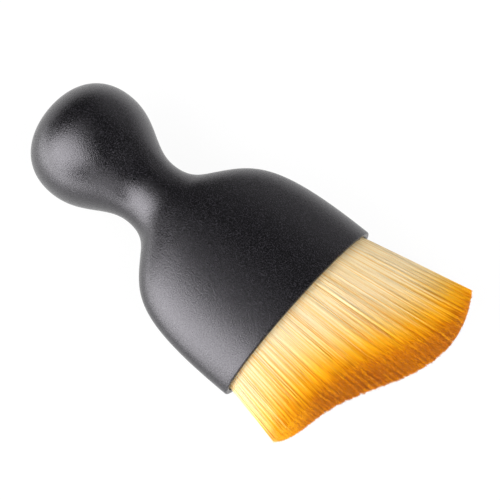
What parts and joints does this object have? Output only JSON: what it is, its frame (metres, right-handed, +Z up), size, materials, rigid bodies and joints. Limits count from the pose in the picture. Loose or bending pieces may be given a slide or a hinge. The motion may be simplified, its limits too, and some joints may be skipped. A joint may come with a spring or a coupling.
{
  "type": "detailing brush",
  "caption": "Soft hand brush with a ball-ended moulded handle, a round waist and a wide oval mouth that holds a wave-cut synthetic tuft.",
  "frame": {"origin": "under the middle of the box of the whole brush, on the surface that it lies on", "axes": "+X along the brush from the ball towards the bristle tips, +Y across the width towards the long side of the tuft, +Z up through the thickness"},
  "size_m": [0.1402, 0.0752, 0.0384],
  "materials": {
    "handle": "black moulded plastic with a fine spark-eroded grain",
    "adhesive": "cured translucent adhesive bead",
    "cup": "plain black moulded plastic",
    "thread": "undyed polyester thread, tightly wound",
    "resin": "cast epoxy, amber",
    "bristles": "fine crimp-free synthetic filament, cream at the root, golden, orange-brown at the tips"
  },
  "bodies": {
    "root": {"handle": "handle", "cup_adhesive": "adhesive", "tuft_cup": "cup", "binding_thread": "thread", "potting_resin": "resin", "bristle_tuft": "bristles"}
  },
  "joints": []
}
